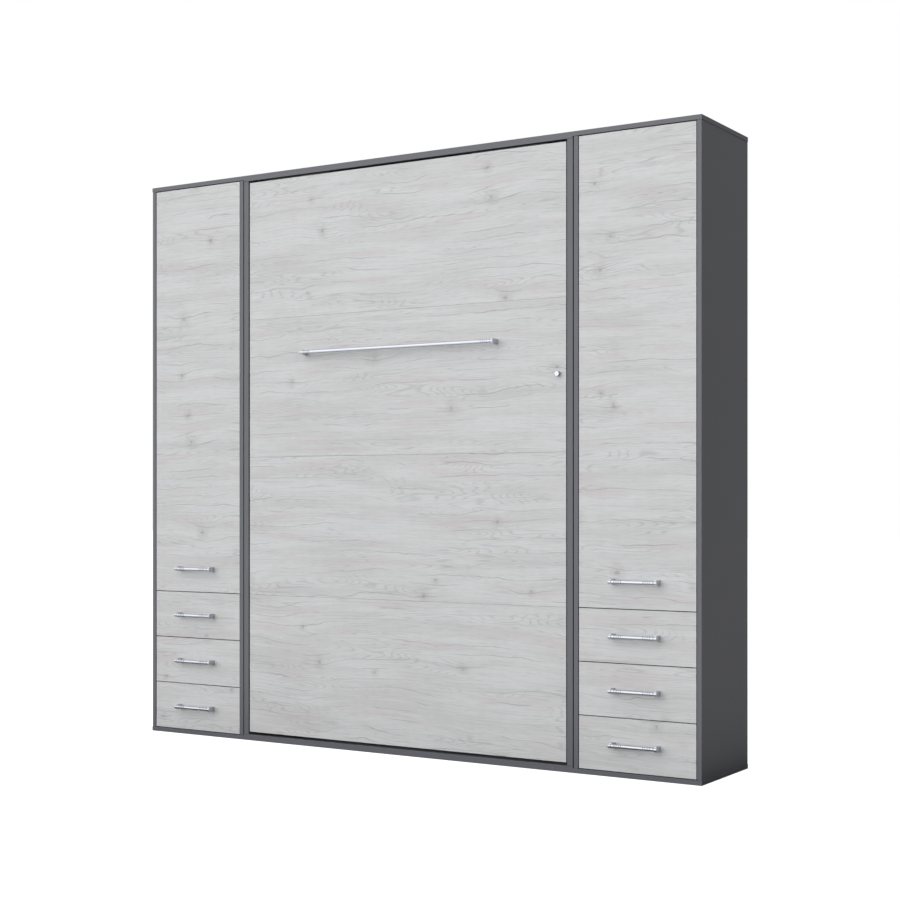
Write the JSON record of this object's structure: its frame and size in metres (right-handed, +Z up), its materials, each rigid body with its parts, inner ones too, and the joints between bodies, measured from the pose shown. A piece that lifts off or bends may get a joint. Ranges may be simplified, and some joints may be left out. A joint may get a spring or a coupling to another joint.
{
  "type": "murphy wall bed",
  "caption": "Upright bed that turns down out of a shallow case, between two narrow cabinets, each with a tall hinged door over a stack of drawers, all with bar handles",
  "frame": {"origin": "middle of the bottom board's underside, on the floor", "axes": "+X to the right when facing the front, +Y from the front to the wall, +Z up"},
  "size_m": [2.363, 0.4385, 2.17],
  "materials": {
    "anthracite": "matt anthracite laminate on particle board",
    "pale_oak": "pale washed oak laminate on particle board",
    "drawer_board": "light grey coated board",
    "satin_chrome": "satin chrome plating",
    "zinc_steel": "zinc plated",
    "black_steel": "black powder coat",
    "birch": "clear sealed birch",
    "ticking": "woven mattress ticking over foam",
    "webbing": "black woven webbing"
  },
  "bodies": {
    "cabinet": {"top_board": "anthracite", "bottom_board": "anthracite", "bed_side_left": "anthracite", "bed_side_right": "anthracite", "rear_rail_lower": "anthracite", "rear_rail_upper": "anthracite", "cabinet_left_inner_side": "anthracite", "cabinet_left_outer_side": "anthracite", "cabinet_left_back": "anthracite", "cabinet_left_divider": "anthracite", "cabinet_left_shelf": "anthracite", "door_left_hinge_lower": "zinc_steel", "door_left_hinge_upper": "zinc_steel", "mechanism_plate_left": "black_steel", "cabinet_right_inner_side": "anthracite", "cabinet_right_outer_side": "anthracite", "cabinet_right_back": "anthracite", "cabinet_right_divider": "anthracite", "cabinet_right_shelf": "anthracite", "door_right_hinge_lower": "zinc_steel", "door_right_hinge_upper": "zinc_steel", "mechanism_plate_right": "black_steel"},
    "bed": {"bed_front_1": "pale_oak", "bed_front_2": "pale_oak", "bed_front_3": "pale_oak", "bed_front_4": "pale_oak", "bed_frame": "black_steel", "slat_base": "birch", "mattress": "ticking", "mattress_strap": "webbing", "bed_handle": "satin_chrome"},
    "door_left": {"door_left": "pale_oak", "door_left_handle": "satin_chrome"},
    "drawer_left_1": {"drawer_left_1_front": "pale_oak", "drawer_left_1_box": "drawer_board", "drawer_left_1_handle": "satin_chrome"},
    "drawer_left_2": {"drawer_left_2_front": "pale_oak", "drawer_left_2_box": "drawer_board", "drawer_left_2_handle": "satin_chrome"},
    "drawer_left_3": {"drawer_left_3_front": "pale_oak", "drawer_left_3_box": "drawer_board", "drawer_left_3_handle": "satin_chrome"},
    "gas_cylinder_left": {"gas_spring_left_cylinder": "black_steel"},
    "gas_rod_left": {"gas_spring_left_rod": "satin_chrome"},
    "leg_left": {"leg_left": "black_steel"},
    "door_right": {"door_right": "pale_oak", "door_right_handle": "satin_chrome"},
    "drawer_right_1": {"drawer_right_1_front": "pale_oak", "drawer_right_1_box": "drawer_board", "drawer_right_1_handle": "satin_chrome"},
    "drawer_right_2": {"drawer_right_2_front": "pale_oak", "drawer_right_2_box": "drawer_board", "drawer_right_2_handle": "satin_chrome"},
    "drawer_right_3": {"drawer_right_3_front": "pale_oak", "drawer_right_3_box": "drawer_board", "drawer_right_3_handle": "satin_chrome"},
    "gas_cylinder_right": {"gas_spring_right_cylinder": "black_steel"},
    "gas_rod_right": {"gas_spring_right_rod": "satin_chrome"},
    "leg_right": {"leg_right": "black_steel"},
    "bed_lock": {"bed_lock": "satin_chrome"}
  },
  "joints": [
    {"name": "bed_fold", "type": "hinge", "parent": "cabinet", "child": "bed", "pos_m": [0, -0.135, 0.33214], "axis": [1, 0, 0], "range_deg": [0, 90], "stiffness_Nm_per_rad": 230},
    {"name": "bed_lock_turn", "type": "hinge", "parent": "bed", "child": "bed_lock", "pos_m": [0.6565, -0.197, 1.3528], "axis": [0, 1, 0], "range_deg": [0, 90]},
    {"name": "leg_left_swing", "type": "hinge", "parent": "bed", "child": "leg_left", "pos_m": [-0.602, -0.172, 2.142], "axis": [0, 0, -1], "range_deg": [0, 90]},
    {"name": "gas_spring_left_turn", "type": "hinge", "parent": "cabinet", "child": "gas_cylinder_left", "pos_m": [-0.659, -0.055, 0.93214], "axis": [1, 0, 0], "range_deg": [0, 5.41]},
    {"name": "gas_spring_left_stroke", "type": "slide", "parent": "gas_cylinder_left", "child": "gas_rod_left", "axis": [0, 0.0413, 0.9991], "range_m": [0, 0.1598]},
    {"name": "door_left_swing", "type": "hinge", "parent": "cabinet", "child": "door_left", "pos_m": [-1.161, -0.198, 0.562], "axis": [0, 0, -1], "range_deg": [0, 95]},
    {"name": "drawer_left_1_slide", "type": "slide", "parent": "cabinet", "child": "drawer_left_1", "axis": [0, -1, 0], "range_m": [0, 0.26]},
    {"name": "drawer_left_2_slide", "type": "slide", "parent": "cabinet", "child": "drawer_left_2", "axis": [0, -1, 0], "range_m": [0, 0.26]},
    {"name": "drawer_left_3_slide", "type": "slide", "parent": "cabinet", "child": "drawer_left_3", "axis": [0, -1, 0], "range_m": [0, 0.26]},
    {"name": "leg_right_swing", "type": "hinge", "parent": "bed", "child": "leg_right", "pos_m": [0.602, -0.172, 2.142], "axis": [0, 0, 1], "range_deg": [0, 90]},
    {"name": "gas_spring_right_turn", "type": "hinge", "parent": "cabinet", "child": "gas_cylinder_right", "pos_m": [0.659, -0.055, 0.93214], "axis": [1, 0, 0], "range_deg": [0, 5.41]},
    {"name": "gas_spring_right_stroke", "type": "slide", "parent": "gas_cylinder_right", "child": "gas_rod_right", "axis": [0, 0.0413, 0.9991], "range_m": [0, 0.1598]},
    {"name": "door_right_swing", "type": "hinge", "parent": "cabinet", "child": "door_right", "pos_m": [1.161, -0.198, 0.562], "axis": [0, 0, 1], "range_deg": [0, 95]},
    {"name": "drawer_right_1_slide", "type": "slide", "parent": "cabinet", "child": "drawer_right_1", "axis": [0, -1, 0], "range_m": [0, 0.26]},
    {"name": "drawer_right_2_slide", "type": "slide", "parent": "cabinet", "child": "drawer_right_2", "axis": [0, -1, 0], "range_m": [0, 0.26]},
    {"name": "drawer_right_3_slide", "type": "slide", "parent": "cabinet", "child": "drawer_right_3", "axis": [0, -1, 0], "range_m": [0, 0.26]}
  ],
  "couplings": [
    {"joint": "gas_spring_left_turn", "follows": "bed_fold", "ratio": 0.05959},
    {"joint": "gas_spring_left_stroke", "follows": "bed_fold", "m_per_rad": 0.10143},
    {"joint": "gas_spring_right_turn", "follows": "bed_fold", "ratio": 0.05959},
    {"joint": "gas_spring_right_stroke", "follows": "bed_fold", "m_per_rad": 0.10143}
  ]
}
